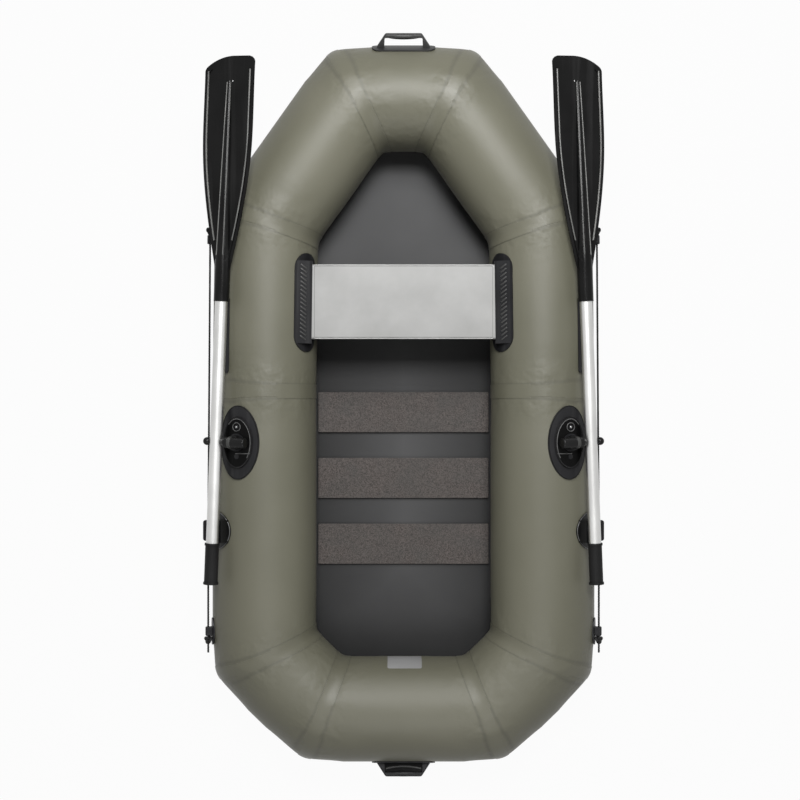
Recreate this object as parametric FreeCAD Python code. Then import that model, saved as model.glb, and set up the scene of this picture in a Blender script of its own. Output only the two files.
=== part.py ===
import FreeCAD, Part
import math
import os
from FreeCAD import Placement, Rotation, Vector

# Inflatable rowing boat, bow towards +Y, starboard towards +X, +Z up, lying on the plane z = 0.
# Millimetres and degrees. Starboard pieces are modelled and mirrored to port.

# hull ring
hull_length = 2000.0
hull_beam = 1070.0
tube_diameter = 290.0
tube_wall = 1.0
bow_flat = 264.0
bow_sweep = 35.4
fore_pinch = 6.0
seam_station = 36.0
stern_corner_inset = 162.0
stern_sweep = 45.9
glue_gap = 0.3

# floor and slats
floor_thickness = 1.2
floor_join_angle = 35.0
floor_flap_angle = 12.0
slat_side_tuck = 1.0
slat_width = 116.0
slat_thickness = 9.0
slat_pitch = 190.0
slat_count = 3
first_slat_station = -24.0
slat_edge_round = 1.5

# seat
seat_end_offset = 10.2
seat_end_ease = 0.3
seat_width = 206.0
seat_height = 12.0
seat_skin = 2.0
seat_level = 234.0
seat_station = 281.0
seat_rib_pitch = 66.0
seat_pad_length = 271.0
seat_pad_width = 88.0
seat_pad_round = 43.0
seat_pad_thickness = 3.0
seat_pad_lean = 55.0
seat_rail_length = 226.0
seat_rail_lip = 6.0
seat_rail_cover = 7.0
seat_rail_rise = 12.0
seat_rail_nose = 3.0
seat_rail_ramp = 6.0
seat_rail_foot = 4.0
seat_slot_gap = 0.5
seat_end_gap = 2.4
seat_rail_groove_pitch = 9.0
seat_rail_groove_width = 4.0
seat_rail_groove_length = 24.0
seat_rail_groove_depth = 1.2
seat_rail_groove_turn = 35.0

# rowlocks
rowlock_station = -104.0
rowlock_lean = 24.0
toe_in = 2.5
base_width = 118.0
base_length = 201.0
base_thickness = 4.0
base_crown_width = 88.0
base_crown_length = 138.0
base_crown_height = 9.0
swivel_seat_radius = 24.0
swivel_seat_height = 14.0
swivel_gap = 0.3
swing_clearance = 5.0
spindle_radius = 6.0
spindle_depth = 9.0
barrel_radius = 15.0
barrel_inboard = 40.0
barrel_outboard = 24.0
foot_radius = 20.0
pin_height = 30.0
pin_radius = 4.0
pin_gap = 0.3
saddle_radius = 9.0
knob_radius = 11.0
knob_collar = 4.0
collar_radius = 7.7
button_radius = 12.0
button_rim = 2.0
button_dish = 1.5
button_screw_radius = 6.0
button_screw_height = 1.0
button_station = 42.0
aft_screw_station = -38.0
aft_screw_radius = 7.0

# oars
oar_offset = 52.0
shaft_radius = 17.0
shaft_wall = 1.5
oar_ahead_of_pin = 1042.0
oar_behind_pin = 388.0
socket_start = 380.0
socket_length = 109.0
socket_radius = 21.5
socket_insert = 62.0
socket_gap = 0.2
spine_stop = 67.0
spine_tip_radius = 5.0
socket_lip = 0.5
blade_width = 153.0
blade_neck_width = 46.0
blade_neck_overlap = 20.0
blade_widest_share = 0.66
blade_thickness = 4.0
blade_corner_drop = 32.0
blade_inner_drop = 8.0
blade_inner_round = 8.0
blade_crown_drop = 9.0
blade_rib_inset = 9.0
blade_rib_width = 4.0
blade_rib_height = 2.5
blade_rib_stop = 34.0
blade_hole_radius = 2.5
grip_length = 112.0
grip_radius = 18.5
grip_flange_radius = 20.5
grip_flange_length = 6.0
grip_end_cap = 4.0

# oar rests, wear pads and lifelines
rest_station = -347.0
rest_lean = 44.0
rest_width = 64.0
rest_length = 60.0
rest_corner = 12.0
rest_groove_depth = 3.0
rest_gap = 0.5
rest_pad_lean = 56.0
rest_pad_width = 112.0
rest_pad_length = 103.0
rest_pad_thickness = 3.0
wear_pad_station = 188.0
wear_pad_lean = 50.0
wear_pad_width = 66.0
wear_pad_length = 207.0
wear_pad_thickness = 2.5
wear_pad_corner = 8.0
rope_diameter = 6.0
rope_lean = 74.0
knot_gap = 0.5
eye_hole_gap = 0.5
eye_wall = 4.0
eye_length = 26.0
eye_pad_width = 44.0
eye_pad_length = 75.0
aft_eye_ahead_of_quarter = 67.0
fore_eye_behind_shoulder = 45.4
knot_radius = 10.0
rope_tail = 28.0

# carry handles
handle_pad_width = 56.0
handle_pad_length = 176.0
handle_pad_thickness = 3.0
handle_rise = 41.0
handle_bar = 15.0
handle_bar_length = 107.0
handle_foot_length = 168.0
handle_opening_foot = 106.0
handle_opening_top = 88.0
handle_bar_bulge = 3.0
handle_base_rise = 1.0
handle_pad_round = 27.0
handle_thickness = 20.0
handle_edge_round = 4.0
bow_handle_lean = 62.0
stern_handle_lean = 80.0

# inflation valves
valve_lean = 118.0
valve_flange_radius = 29.0
valve_flange_thickness = 2.5
valve_cap_radius = 20.0
valve_cap_height = 8.0
valve_cap_round = 2.5
fore_valve_ahead_of_seam = 84.0
aft_valve_ahead_of_quarter = 138.0

tube_radius = tube_diameter / 2
skin_radius = tube_radius + glue_gap
side_x = hull_beam / 2 - tube_radius
end_y = hull_length / 2 - tube_radius
pinched_x = side_x - fore_pinch
stern_corner_x = side_x - stern_corner_inset
bow_corner = Vector(bow_flat / 2, end_y, tube_radius)
shoulder_y = end_y - (pinched_x - bow_flat / 2) / math.tan(math.radians(bow_sweep))
shoulder = Vector(pinched_x, shoulder_y, tube_radius)
mid_seam = Vector(side_x, seam_station, tube_radius)
quarter_y = -end_y + stern_corner_inset / math.tan(math.radians(stern_sweep))
quarter = Vector(side_x, quarter_y, tube_radius)
stern_corner = Vector(stern_corner_x, -end_y, tube_radius)
up = Vector(0, 0, 1)
reach = 4 * tube_radius
sink = 1.0

aft_eye_station = quarter_y + aft_eye_ahead_of_quarter
fore_eye_station = shoulder_y - fore_eye_behind_shoulder
fore_valve_station = seam_station + fore_valve_ahead_of_seam
aft_valve_station = quarter_y + aft_valve_ahead_of_quarter
rope_standoff = glue_gap + rest_pad_thickness + knot_radius + knot_gap
slat_length = 2 * (side_x - tube_radius + slat_side_tuck)
spine_end = oar_ahead_of_pin - spine_stop


def port_of(point):
    return Vector(-point.x, point.y, point.z)


def mirrored(shape):
    return shape.mirror(Vector(0, 0, 0), Vector(1, 0, 0))


def handle_tip(lean):
    # how far out a leaned handle reaches at the rounded corner of its bar
    out = math.sin(math.radians(lean))
    across = math.cos(math.radians(lean))
    square_tip = (tube_radius + handle_rise) * out + handle_thickness / 2 * across
    return end_y + square_tip - handle_edge_round * (out + across - 1)


# the origin lies midway between the tips of the two handles
origin_shift = (handle_tip(stern_handle_lean) - handle_tip(bow_handle_lean)) / 2


def save(name, shape):
    os.makedirs("parts", exist_ok=True)
    placed = shape.copy()
    placed.translate(Vector(0, origin_shift, 0))
    if placed.ShapeType == "Compound" and len(placed.Solids) == 1:
        placed = placed.Solids[0]
    placed.exportStep("parts/" + name + ".step")
    print(name, len(placed.Solids), placed.isValid(), round(placed.Volume / 1000, 2), "cm3")


def save_pair(name, shape):
    save(name + "_starboard", shape)
    save(name + "_port", mirrored(shape))


def half_space(point, normal):
    block = Part.makeBox(2 * reach, 2 * reach, 2 * reach, Vector(-reach, -reach, 0))
    block.Placement = Placement(point, Rotation(up, normal))
    return block


def mitre_normal(before, corner, after):
    arriving = (corner - before).normalize()
    leaving = (after - corner).normalize()
    return (arriving + leaving).normalize()


def clip_to_mitres(shape, start, start_normal, end, end_normal):
    shape = shape.common(half_space(start, start_normal))
    return shape.common(half_space(end, -end_normal))


def along(start, end, build):
    # build makes a solid round the local Y axis, as long as asked, which is laid from start to end
    run = end - start
    extra = tube_radius
    solid = build(run.Length + 2 * extra)
    heading = Rotation(Vector(0, 1, 0), run)
    direction = Vector(run).normalize()
    solid.Placement = Placement(start - direction * extra, heading)
    return solid


def pipe(length):
    outer = Part.makeCylinder(tube_radius, length, Vector(0, 0, 0), Vector(0, 1, 0))
    inner = Part.makeCylinder(tube_radius - tube_wall, length, Vector(0, 0, 0), Vector(0, 1, 0))
    return outer.cut(inner)


ring = [bow_corner, shoulder, mid_seam, quarter, stern_corner]
ring = ring + [port_of(point) for point in reversed(ring)]
ring_names = ["tube_bow_quarter_starboard", "tube_side_fore_starboard", "tube_side_aft_starboard",
              "tube_stern_quarter_starboard", "tube_stern", "tube_stern_quarter_port",
              "tube_side_aft_port", "tube_side_fore_port", "tube_bow_quarter_port", "tube_bow"]


def ring_span(index):
    count = len(ring)
    before = ring[index - 1]
    start = ring[index]
    end = ring[(index + 1) % count]
    after = ring[(index + 2) % count]
    return start, mitre_normal(before, start, end), end, mitre_normal(start, end, after)


def hull_tubes():
    for index, name in enumerate(ring_names):
        start, start_normal, end, end_normal = ring_span(index)
        tube = along(start, end, pipe)
        save(name, clip_to_mitres(tube, start, start_normal, end, end_normal))


def flap_band(length):
    # glued flap under the inboard side of a tube that runs clockwise round the hull
    inner = skin_radius
    outer = skin_radius + floor_thickness
    sweep = floor_join_angle - floor_flap_angle
    big = Part.makeCylinder(outer, length, Vector(0, 0, 0), Vector(0, 1, 0), sweep)
    small = Part.makeCylinder(inner, length, Vector(0, 0, 0), Vector(0, 1, 0), sweep)
    return big.cut(small)


def floor_sheet():
    join = math.radians(floor_join_angle)
    sheet_top = tube_radius - skin_radius * math.cos(join)
    sheet_inset = (skin_radius + floor_thickness / 2) * math.sin(join)
    corners = [Vector(p.x, p.y, sheet_top - floor_thickness) for p in ring]
    outline = Part.makePolygon(corners + [corners[0]])
    inset = outline.makeOffset2D(-sheet_inset, 2)
    sheet = Part.Face(inset).extrude(Vector(0, 0, floor_thickness))
    for index in range(len(ring)):
        start, start_normal, end, end_normal = ring_span(index)
        band = along(start, end, flap_band)
        turned = turn_band(band, start, end)
        sheet = sheet.fuse(clip_to_mitres(turned, start, start_normal, end, end_normal))
    save("floor_sheet", sheet.removeSplitter())
    return sheet_top


def turn_band(band, start, end):
    # the band's first edge is turned to the join with the sheet, inboard of straight down
    direction = (end - start).normalize()
    inward = direction.cross(up)
    join = math.radians(floor_join_angle)
    wanted = inward * math.sin(join) - up * math.cos(join)
    probe = band.Placement.Rotation.multVec(Vector(0, 0, 1))
    angle = math.degrees(math.atan2(probe.cross(wanted).dot(direction), probe.dot(wanted)))
    band.rotate(start, direction, angle)
    return band


def floor_slats(sheet_top):
    names = ["floor_slat_fore", "floor_slat_middle", "floor_slat_aft"]
    for index in range(slat_count):
        station = first_slat_station - index * slat_pitch
        corner = Vector(-slat_length / 2, station - slat_width / 2, sheet_top)
        slat = Part.makeBox(slat_length, slat_width, slat_thickness, corner)
        top = [edge for edge in slat.Edges
               if edge.BoundBox.ZMin > sheet_top + slat_thickness - 0.01]
        save(names[index], slat.makeFillet(slat_edge_round, top))


def side_frame(station):
    # local frame on the axis of the starboard side tube: X outboard, Y along the tube, Z up
    if station > seam_station:
        share = (station - mid_seam.y) / (shoulder.y - mid_seam.y)
        point = mid_seam + (shoulder - mid_seam) * share
        direction = (shoulder - mid_seam).normalize()
    else:
        point = Vector(side_x, station, tube_radius)
        direction = Vector(0, 1, 0)
    return Placement(point, Rotation(Vector(0, 1, 0), direction))


def end_frame(sign):
    # local frame on the axis of the bow (sign 1) or stern (sign -1) tube, X pointing outboard
    return Placement(Vector(0, sign * end_y, tube_radius), Rotation(up, 90 * sign))


def leaned(frame, lean):
    # the same frame turned about the tube so that its Z points out at the lean angle
    return frame.multiply(Placement(Vector(0, 0, 0), Rotation(Vector(0, 1, 0), lean)))


def moved(shape, placement):
    result = shape.copy()
    result.Placement = placement.multiply(result.Placement)
    return result


def rounded_face(size_x, size_y, radius):
    hx = size_x / 2 - radius
    hy = size_y / 2 - radius
    centres = [(hx, hy, 0), (-hx, hy, 90), (-hx, -hy, 180), (hx, -hy, 270)]
    arcs = [Part.makeCircle(radius, Vector(x, y, 0), up, turn, turn + 90) for x, y, turn in centres]
    edges = []
    for index, arc in enumerate(arcs):
        following = arcs[(index + 1) % len(arcs)]
        edges.append(arc)
        gap_start = arc.Vertexes[-1].Point
        gap_end = following.Vertexes[0].Point
        if (gap_end - gap_start).Length > 0.01:
            edges.append(Part.makeLine(gap_start, gap_end))
    return Part.Face(Part.Wire(edges))


def ellipse_face(size_x, size_y):
    major = Vector(0, size_y / 2, 0)
    minor = Vector(size_x / 2, 0, 0)
    if size_x > size_y:
        major, minor = minor, major
    curve = Part.Ellipse(major, minor, Vector(0, 0, 0))
    return Part.Face(Part.Wire([curve.toShape()]))


def shell_patch(face, inner, outer):
    # a patch of a skin wrapped on the tube, cut out by an outline seen along local Z
    bounds = face.BoundBox
    length = bounds.YLength + 2 * sink
    start = Vector(0, bounds.YMin - sink, 0)
    skin = Part.makeCylinder(outer, length, start, Vector(0, 1, 0))
    skin = skin.cut(Part.makeCylinder(inner, length, start, Vector(0, 1, 0)))
    return skin.common(face.extrude(Vector(0, 0, outer + sink)))


def on_skin(face, top):
    # a straight post over the outline, from the tube's skin up to a flat top
    bounds = face.BoundBox
    post = face.extrude(Vector(0, 0, top))
    start = Vector(0, bounds.YMin - sink, 0)
    core = Part.makeCylinder(skin_radius, bounds.YLength + 2 * sink, start, Vector(0, 1, 0))
    return post.cut(core)


def disc(radius, station=0.0):
    return Part.Face(Part.Wire([Part.makeCircle(radius, Vector(0, station, 0))]))


def plank_end():
    # where the plank ends at each side, seen from the side tube's axis
    pad_radius = skin_radius + seat_pad_thickness
    level = seat_level - tube_radius
    return -math.sqrt(pad_radius ** 2 - level ** 2) - seat_end_offset


def seat_plank():
    edge_radius = seat_height / 2
    top = seat_level + edge_radius
    edge_y = seat_width / 2 - edge_radius
    seat_length = 2 * (side_frame(seat_station).Base.x + plank_end())
    start_x = -seat_length / 2
    skin = Part.makeBox(seat_length, 2 * edge_y, seat_skin,
                        Vector(start_x, seat_station - edge_y, top - seat_skin))
    plank = skin
    for side in (-1, 1):
        centre = Vector(start_x, seat_station + side * edge_y, seat_level)
        roll = Part.makeCylinder(edge_radius, seat_length, centre, Vector(1, 0, 0))
        plank = plank.fuse(roll)
        rib_y = seat_station + side * seat_rib_pitch / 2 - seat_skin / 2
        plank = plank.fuse(Part.makeBox(seat_length, seat_skin, seat_height - seat_skin,
                                        Vector(start_x, rib_y, seat_level - edge_radius)))
    for side in (-1, 1):
        centre = Vector(start_x, seat_station + side * edge_y, seat_level)
        bore = Part.makeCylinder(edge_radius - seat_skin, seat_length, centre, Vector(1, 0, 0))
        plank = plank.cut(bore)
    # the ends are eased as far as the rails reach over them, skewed as the side tubes are
    run = side_frame(seat_station).Rotation.multVec(Vector(0, 1, 0))
    skew = abs(run.x / run.y) * seat_width / 2
    ease_length = seat_rail_cover + seat_slot_gap + skew
    for end_x in (start_x, -start_x - ease_length):
        corner = Vector(end_x, seat_station - seat_width / 2, top - seat_end_ease)
        plank = plank.cut(Part.makeBox(ease_length, seat_width, seat_height, corner))
    save("seat_plank", plank.removeSplitter())


def seat_holder():
    frame = side_frame(seat_station)
    pad_radius = skin_radius + seat_pad_thickness
    outline = rounded_face(seat_pad_width, seat_pad_length, seat_pad_round)
    pad = shell_patch(outline, skin_radius, pad_radius)
    save_pair("seat_pad", moved(pad, leaned(frame, -seat_pad_lean)))

    level = seat_level - tube_radius
    slot_half = seat_height / 2 + seat_slot_gap
    slot_end = plank_end() + seat_end_gap
    lip_edge = plank_end() - seat_rail_cover
    lip_top = level + slot_half + seat_rail_lip
    lip_bottom = level - slot_half - seat_rail_lip
    crest = lip_top + seat_rail_rise
    crest_x = -math.sqrt(pad_radius ** 2 - crest ** 2)
    foot_x = -math.sqrt(pad_radius ** 2 - lip_bottom ** 2) + seat_rail_foot
    points = [Vector(crest_x + seat_rail_ramp, 0, lip_top), Vector(crest_x, 0, crest),
              Vector(lip_edge + seat_rail_ramp, 0, lip_top),
              Vector(lip_edge, 0, lip_top - seat_rail_nose),
              Vector(lip_edge, 0, lip_bottom + seat_rail_nose),
              Vector(lip_edge + seat_rail_foot, 0, lip_bottom),
              Vector(foot_x, 0, lip_bottom - seat_rail_nose)]
    section = Part.Face(Part.makePolygon(points + [points[0]]))
    start = Vector(0, -seat_rail_length / 2, 0)
    rail = section.extrude(Vector(0, seat_rail_length, 0))
    rail.translate(start)
    core = Part.makeCylinder(pad_radius, seat_rail_length, start, Vector(0, 1, 0))
    slot = Part.makeBox(slot_end - lip_edge + sink, seat_rail_length, 2 * slot_half,
                        start + Vector(lip_edge - sink, 0, level - slot_half))
    rail = rail.cut(core).cut(slot)
    rail = rail.cut(rail_grooves(points[2], points[1]))
    save_pair("seat_rail", moved(rail, frame))


def rail_grooves(low, high):
    # a row of slanting grooves pressed into the sloping top of the rail
    slope = math.degrees(math.atan2(high.z - low.z, high.x - low.x))
    middle = (low + high) / 2
    count = int((seat_rail_length - seat_rail_groove_length) / seat_rail_groove_pitch)
    block = Part.makeBox(seat_rail_groove_length, seat_rail_groove_width,
                         2 * seat_rail_groove_depth,
                         Vector(-seat_rail_groove_length / 2, -seat_rail_groove_width / 2,
                                -seat_rail_groove_depth))
    block.rotate(Vector(0, 0, 0), up, seat_rail_groove_turn)
    block.rotate(Vector(0, 0, 0), Vector(0, 1, 0), -slope)
    grooves = []
    for index in range(count + 1):
        groove = block.copy()
        station = (index - count / 2) * seat_rail_groove_pitch
        groove.translate(middle + Vector(0, station, 0))
        grooves.append(groove)
    return Part.makeCompound(grooves)


def rowlock_frame():
    return leaned(side_frame(rowlock_station), rowlock_lean)


def swivel_frame():
    turned = Placement(Vector(0, 0, 0), Rotation(up, toe_in))
    return rowlock_frame().multiply(turned)


def rowlock_base():
    pad = shell_patch(ellipse_face(base_width, base_length), skin_radius,
                      skin_radius + base_thickness)
    crown = shell_patch(ellipse_face(base_crown_width, base_crown_length), skin_radius,
                        tube_radius + base_crown_height)
    seat_top = tube_radius + swivel_seat_height
    seat = on_skin(disc(swivel_seat_radius), seat_top)
    # the swinging barrel passes over the button and the screw boss
    boss_top = tube_radius + pin_height - barrel_radius - swing_clearance
    button = on_skin(disc(button_radius, button_station), boss_top)
    dish = Part.makeCylinder(button_radius - button_rim, button_dish + sink,
                             Vector(0, button_station, boss_top - button_dish))
    screw = on_skin(disc(button_screw_radius, button_station),
                    boss_top - button_dish + button_screw_height)
    boss = on_skin(disc(aft_screw_radius, aft_screw_station), boss_top)
    bore = Part.makeCylinder(spindle_radius + pin_gap, spindle_depth + sink,
                             Vector(0, 0, seat_top - spindle_depth - pin_gap))
    base = pad.fuse(crown).fuse(seat).fuse(button).fuse(boss)
    base = base.cut(bore).cut(dish).fuse(screw)
    save_pair("rowlock_base", moved(base.removeSplitter(), rowlock_frame()))


def rowlock_turret():
    height = tube_radius + pin_height
    seat_top = tube_radius + swivel_seat_height
    x_axis = Vector(1, 0, 0)
    barrel_length = barrel_inboard + barrel_outboard
    barrel = Part.makeCylinder(barrel_radius, barrel_length, Vector(-barrel_inboard, 0, height),
                               x_axis)
    rim = [edge for edge in barrel.Edges if edge.BoundBox.XMax < -barrel_inboard + 0.01]
    barrel = barrel.makeFillet(barrel_radius / 3, rim)
    saddle_face = oar_offset - shaft_radius - pin_gap
    saddle = Part.makeCone(barrel_radius, saddle_radius, saddle_face - barrel_outboard,
                           Vector(barrel_outboard, 0, height), x_axis)
    foot = Part.makeCylinder(foot_radius, pin_height - swivel_seat_height - swivel_gap,
                             Vector(0, 0, seat_top + swivel_gap))
    spindle = Part.makeCylinder(spindle_radius, spindle_depth,
                                Vector(0, 0, seat_top + swivel_gap - spindle_depth))
    turret = barrel.fuse(saddle).fuse(foot).fuse(spindle)
    bore_start = -barrel_inboard / 2
    bore = Part.makeCylinder(pin_radius + pin_gap, saddle_face - bore_start + sink,
                             Vector(bore_start, 0, height), x_axis)
    turret = turret.cut(bore).removeSplitter()
    save_pair("rowlock_turret", moved(turret, swivel_frame()))

    collar_start = oar_offset + shaft_radius + pin_gap
    knob_centre = collar_start + knob_radius
    rod = Part.makeCylinder(pin_radius, knob_centre - bore_start - pin_gap,
                            Vector(bore_start + pin_gap, 0, height), x_axis)
    collar = Part.makeCylinder(collar_radius, knob_collar,
                               Vector(collar_start, 0, height), x_axis)
    knob = Part.makeSphere(knob_radius, Vector(knob_centre, 0, height))
    pin = rod.fuse(collar).fuse(knob).removeSplitter()
    save_pair("rowlock_pin", moved(pin, swivel_frame()))


def oar_frame():
    # X outboard along the pin, Y towards the blade tip, origin in the shaft at the pin
    offset = Placement(Vector(oar_offset, 0, tube_radius + pin_height), Rotation())
    return swivel_frame().multiply(offset)


def blade_half_width(share):
    # half width of the blade from its neck (0) to its widest part (1)
    neck = blade_neck_width / 2
    ease = math.sin(share * math.pi / 2)
    return neck + (blade_width / 2 - neck) * ease


def blade_outline(inset):
    tip = oar_ahead_of_pin - inset
    neck = socket_start + socket_length - blade_neck_overlap
    widest = neck + blade_widest_share * (oar_ahead_of_pin - neck)
    steps = 6
    side = []
    for step in range(steps + 1):
        share = step / steps
        side.append((blade_half_width(share) - inset, neck + (widest - neck) * share))
    half = side[-1][0]
    outer_edge = [Vector(x, y, 0) for x, y in side] + [Vector(half, tip - blade_corner_drop, 0)]
    inner_edge = [Vector(-x, y, 0) for x, y in side] + [Vector(-half, tip - blade_inner_drop, 0)]
    outer_curve = Part.BSplineCurve()
    outer_curve.interpolate(outer_edge)
    inner_curve = Part.BSplineCurve()
    inner_curve.interpolate(inner_edge)
    crown = Vector(-blade_width / 8, tip, 0)
    between = Vector(blade_width / 4, tip - blade_crown_drop, 0)
    inner_shoulder = Vector(-half + blade_inner_round, tip - blade_inner_drop / 4, 0)
    edges = [outer_curve.toShape(), Part.Arc(outer_edge[-1], between, crown).toShape(),
             Part.makeLine(crown, inner_shoulder), Part.makeLine(inner_shoulder, inner_edge[-1]),
             inner_curve.toShape(), Part.makeLine(inner_edge[0], outer_edge[0])]
    return Part.Face(Part.Wire(Part.__sortEdges__(edges)))


def oar_blade():
    plate = blade_outline(0).extrude(Vector(0, 0, blade_thickness))
    plate.translate(Vector(0, 0, -blade_thickness / 2))
    # one rib runs along each long edge and stops short of the tip
    rim = blade_outline(blade_rib_inset).cut(blade_outline(blade_rib_inset + blade_rib_width))
    rib_total = blade_thickness + 2 * blade_rib_height
    ribs = rim.extrude(Vector(0, 0, rib_total))
    ribs.translate(Vector(0, 0, -rib_total / 2))
    rib_end = oar_ahead_of_pin - blade_rib_stop
    ribs = ribs.cut(Part.makeBox(2 * blade_width, blade_width, 2 * rib_total,
                                 Vector(-blade_width, rib_end, -rib_total)))
    socket_end = socket_start + socket_length
    profile = [Vector(0, socket_start, 0), Vector(socket_radius - socket_lip, socket_start, 0),
               Vector(socket_radius, socket_end, 0), Vector(spine_tip_radius, spine_end, 0),
               Vector(0, spine_end + spine_tip_radius, 0)]
    section = Part.Face(Part.makePolygon(profile + [profile[0]]))
    spine = section.revolve(Vector(0, 0, 0), Vector(0, 1, 0), 360)
    blade = plate.fuse(ribs).fuse(spine)
    bore = Part.makeCylinder(shaft_radius + socket_gap, socket_insert + socket_gap,
                             Vector(0, socket_start, 0), Vector(0, 1, 0))
    hole = Part.makeCylinder(blade_hole_radius, 2 * blade_thickness,
                             Vector(-spine_tip_radius - 2 * blade_hole_radius, spine_end,
                                    -blade_thickness))
    blade = blade.cut(bore).cut(hole).removeSplitter()
    save_pair("oar_blade", moved(blade, oar_frame()))


def oar_shaft():
    start = -oar_behind_pin + grip_end_cap
    length = socket_start + socket_insert - start
    y_axis = Vector(0, 1, 0)
    shaft = Part.makeCylinder(shaft_radius, length, Vector(0, start, 0), y_axis)
    shaft = shaft.cut(Part.makeCylinder(shaft_radius - shaft_wall, length, Vector(0, start, 0),
                                        y_axis))
    hole = Part.makeCylinder(pin_radius + pin_gap, 4 * shaft_radius,
                             Vector(-2 * shaft_radius, 0, 0), Vector(1, 0, 0))
    save_pair("oar_shaft", moved(shaft.cut(hole), oar_frame()))


def oar_grip():
    y_axis = Vector(0, 1, 0)
    end = -oar_behind_pin
    body = Part.makeCylinder(grip_radius, grip_length, Vector(0, end, 0), y_axis)
    for start in (end, end + grip_length - grip_flange_length):
        flange = Part.makeCylinder(grip_flange_radius, grip_flange_length, Vector(0, start, 0),
                                   y_axis)
        body = body.fuse(flange)
    bore = Part.makeCylinder(shaft_radius + socket_gap, grip_length,
                             Vector(0, end + grip_end_cap - socket_gap, 0), y_axis)
    save_pair("oar_grip", moved(body.cut(bore).removeSplitter(), oar_frame()))


def rope_eye():
    # a lug on the tube's skin with a hole for the lifeline, in a frame leaned to the rope
    hole_radius = rope_diameter / 2 + eye_hole_gap
    width = 2 * (hole_radius + eye_wall)
    top = tube_radius + rope_standoff + hole_radius + eye_wall
    lug = on_skin(rounded_face(width, eye_length, eye_wall), top)
    crest = [edge for edge in lug.Edges if edge.BoundBox.ZMin > top - 0.01]
    lug = lug.makeFillet(0.9 * eye_wall, crest)
    hole = Part.makeCylinder(hole_radius, 2 * eye_length,
                             Vector(0, -eye_length, tube_radius + rope_standoff),
                             Vector(0, 1, 0))
    return lug.cut(hole)


def oar_rest():
    frame = side_frame(rest_station)
    rope_turn = Placement(Vector(0, 0, 0), Rotation(Vector(0, 1, 0), rope_lean))
    block_turn = Placement(Vector(0, 0, 0), Rotation(Vector(0, 1, 0), rest_lean))
    pad_turn = Placement(Vector(0, 0, 0), Rotation(Vector(0, 1, 0), rest_pad_lean))
    pad = shell_patch(ellipse_face(rest_pad_width, rest_pad_length), skin_radius,
                      skin_radius + rest_pad_thickness)
    oar_at_rest = oar_centre_above_tube(rest_station)
    groove_floor = oar_at_rest - shaft_radius - rest_gap
    block = on_skin(rounded_face(rest_width, rest_length, rest_corner),
                    groove_floor + rest_groove_depth)
    rest = moved(pad, pad_turn).fuse(moved(block, block_turn)).fuse(moved(rope_eye(), rope_turn))
    rest = moved(rest, frame)
    start = -oar_behind_pin
    groove = Part.makeCylinder(shaft_radius + rest_gap, oar_behind_pin, Vector(0, start, 0),
                               Vector(0, 1, 0))
    rest = rest.cut(moved(groove, oar_frame())).removeSplitter()
    save_pair("oar_rest", rest)


def oar_centre_above_tube(station):
    # distance from the tube's axis to the shaft's axis, at a station behind the rowlock
    frame = oar_frame()
    direction = frame.Rotation.multVec(Vector(0, 1, 0))
    point = frame.Base + direction * ((station - frame.Base.y) / direction.y)
    return math.hypot(point.x - side_x, point.z - tube_radius)


def wear_pad():
    outline = rounded_face(wear_pad_width, wear_pad_length, wear_pad_corner)
    pad = shell_patch(outline, skin_radius, skin_radius + wear_pad_thickness)
    save_pair("wear_pad", moved(pad, leaned(side_frame(wear_pad_station), wear_pad_lean)))


def lifeline_eyes():
    pad = shell_patch(ellipse_face(eye_pad_width, eye_pad_length), skin_radius,
                      skin_radius + rest_pad_thickness)
    eye = pad.fuse(rope_eye()).removeSplitter()
    for name, station in (("lifeline_eye_fore", fore_eye_station),
                          ("lifeline_eye_aft", aft_eye_station)):
        save_pair(name, moved(eye, leaned(side_frame(station), rope_lean)))


def rope_point(station):
    frame = leaned(side_frame(station), rope_lean)
    return frame.multVec(Vector(0, 0, tube_radius + rope_standoff))


def lifeline():
    # the rope is held straight between its eyes, with a stopper knot past each end eye
    fore = rope_point(fore_eye_station)
    middle = rope_point(rest_station)
    aft = rope_point(aft_eye_station)
    knot_offset = eye_length / 2 + knot_radius + knot_gap
    fore_knot = fore + (fore - middle).normalize() * knot_offset
    aft_knot = aft + (aft - middle).normalize() * knot_offset
    tail_end = aft_knot + Vector(0, -knot_radius - rope_tail, 0)
    fore_end = fore_knot + Vector(0, knot_radius + rope_tail / 2, 0)
    route = [fore_end, fore_knot, middle, aft_knot, tail_end]
    rope = None
    for start, end in zip(route[:-1], route[1:]):
        run = Part.makeCylinder(rope_diameter / 2, (end - start).Length, start, end - start)
        rope = run if rope is None else rope.fuse(run)
    for joint in (fore_knot, aft_knot):
        rope = rope.fuse(Part.makeSphere(knot_radius, joint))
    rope = rope.fuse(Part.makeSphere(rope_diameter / 2, middle))
    save_pair("lifeline", rope.removeSplitter())


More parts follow.
